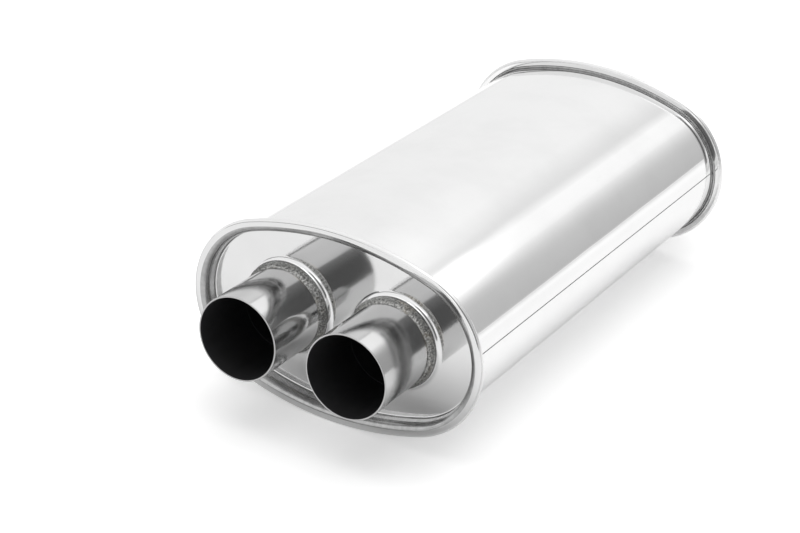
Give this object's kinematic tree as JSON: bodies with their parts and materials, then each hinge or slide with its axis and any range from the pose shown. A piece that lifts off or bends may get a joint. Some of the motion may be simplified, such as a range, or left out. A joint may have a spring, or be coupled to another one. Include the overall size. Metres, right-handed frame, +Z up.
{
  "type": "muffler",
  "caption": "Oval twin-pipe exhaust muffler with a rolled shell, recessed end plates, straight perforated cores, wool wrap and packed chambers.",
  "frame": {"origin": "on the resting plane, under the middle of the muffler, halfway between its ends", "axes": "+X across the oval, +Y along the pipes from the outlets towards the inlets, +Z up"},
  "size_m": [0.237, 0.524, 0.149],
  "materials": {
    "polished_sheet": "mirror-polished stainless sheet",
    "polished_tube": "mirror-polished stainless tube",
    "weld": "rippled weld bead, lightly tinted",
    "mill_steel": "plain mill-finish stainless",
    "wool": "fine stainless wool",
    "packing": "white to straw-coloured glass fibre"
  },
  "bodies": {
    "root": {"shell": "polished_sheet", "front_end_plate": "polished_sheet", "rear_end_plate": "polished_sheet", "outlet_pipe_left": "polished_tube", "outlet_pipe_right": "polished_tube", "inlet_pipe_left": "polished_tube", "inlet_pipe_right": "polished_tube", "outlet_weld_left": "weld", "outlet_weld_right": "weld", "inlet_weld_left": "weld", "inlet_weld_right": "weld", "core_left": "mill_steel", "core_right": "mill_steel", "front_baffle": "mill_steel", "rear_baffle": "mill_steel", "wool_front_left": "wool", "wool_front_right": "wool", "wool_middle_left": "wool", "wool_middle_right": "wool", "wool_rear_left": "wool", "wool_rear_right": "wool", "packing_front": "packing", "packing_middle": "packing", "packing_rear": "packing"}
  },
  "joints": []
}
